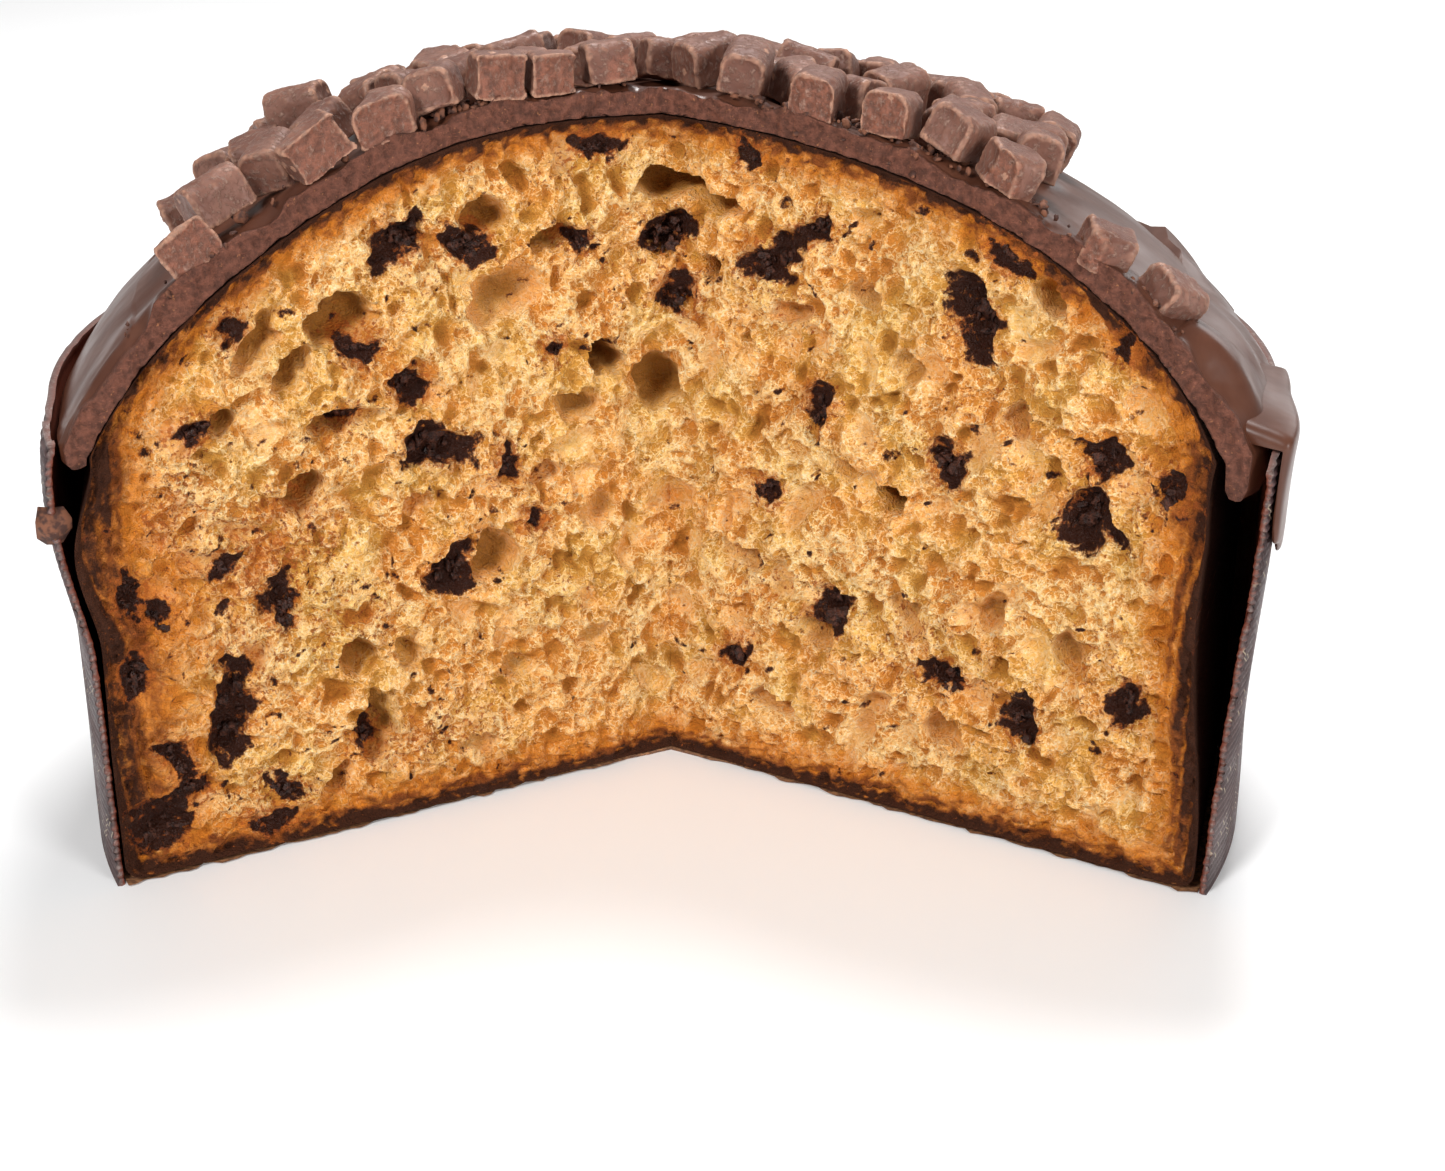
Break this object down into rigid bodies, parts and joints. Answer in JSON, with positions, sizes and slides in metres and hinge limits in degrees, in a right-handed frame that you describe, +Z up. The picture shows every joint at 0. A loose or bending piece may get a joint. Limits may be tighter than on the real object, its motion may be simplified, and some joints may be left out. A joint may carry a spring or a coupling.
{
  "type": "panettone",
  "caption": "Domed round sweet bread with chocolate, cut open by a wide wedge, glazed, topped with chunks and standing in its paper baking mould.",
  "frame": {"origin": "centre of the footprint's bounding rectangle, on the surface that the loaf stands on", "axes": "+Z up; the missing wedge opens towards -Y; +X to the right when looking into the wedge. The loaf's axis is upright at x = -0.0004 m, y = -0.0239 m"},
  "size_m": [0.2008, 0.1522, 0.1285],
  "materials": {
    "bread": "torn open crumb, golden, with a dark thin crust and dark chocolate pieces",
    "glaze": "set milk chocolate, satin gloss, matt where it was cut",
    "topping_chocolate": "milk chocolate with pale bloom on its edges",
    "mould_paper": "dark brown corrugated baking paper, slightly greasy, thin pale lines",
    "base_paper": "dark brown baking paper with frayed cut edges"
  },
  "bodies": {
    "root": {"loaf": "bread", "chocolate_glaze": "glaze", "mould_wall": "mould_paper", "mould_base": "base_paper", "topping_chunk_01": "topping_chocolate", "topping_chunk_02": "topping_chocolate", "topping_chunk_03": "topping_chocolate", "topping_chunk_04": "topping_chocolate", "topping_chunk_05": "topping_chocolate", "topping_chunk_06": "topping_chocolate", "topping_chunk_07": "topping_chocolate", "topping_chunk_08": "topping_chocolate", "topping_chunk_09": "topping_chocolate", "topping_chunk_10": "topping_chocolate", "topping_chunk_11": "topping_chocolate", "topping_chunk_12": "topping_chocolate", "topping_chunk_13": "topping_chocolate", "topping_chunk_14": "topping_chocolate", "topping_chunk_15": "topping_chocolate", "topping_chunk_16": "topping_chocolate", "topping_chunk_17": "topping_chocolate", "topping_chunk_18": "topping_chocolate", "topping_chunk_19": "topping_chocolate", "topping_chunk_20": "topping_chocolate", "topping_chunk_21": "topping_chocolate", "topping_chunk_22": "topping_chocolate", "topping_chunk_23": "topping_chocolate", "topping_chunk_24": "topping_chocolate", "topping_chunk_25": "topping_chocolate", "topping_chunk_26": "topping_chocolate", "topping_chunk_27": "topping_chocolate", "topping_chunk_28": "topping_chocolate", "topping_chunk_29": "topping_chocolate", "topping_chunk_30": "topping_chocolate", "topping_chunk_31": "topping_chocolate", "topping_chunk_32": "topping_chocolate", "topping_chunk_33": "topping_chocolate", "topping_chunk_34": "topping_chocolate", "topping_chunk_35": "topping_chocolate", "topping_chunk_36": "topping_chocolate", "topping_chunk_37": "topping_chocolate", "topping_chunk_38": "topping_chocolate", "topping_chunk_39": "topping_chocolate", "topping_chunk_40": "topping_chocolate", "topping_chunk_41": "topping_chocolate", "topping_chunk_42": "topping_chocolate", "topping_chunk_43": "topping_chocolate", "topping_chunk_44": "topping_chocolate", "topping_chunk_45": "topping_chocolate", "topping_chunk_46": "topping_chocolate", "topping_chunk_47": "topping_chocolate", "topping_chunk_48": "topping_chocolate", "topping_chunk_49": "topping_chocolate"}
  },
  "joints": []
}
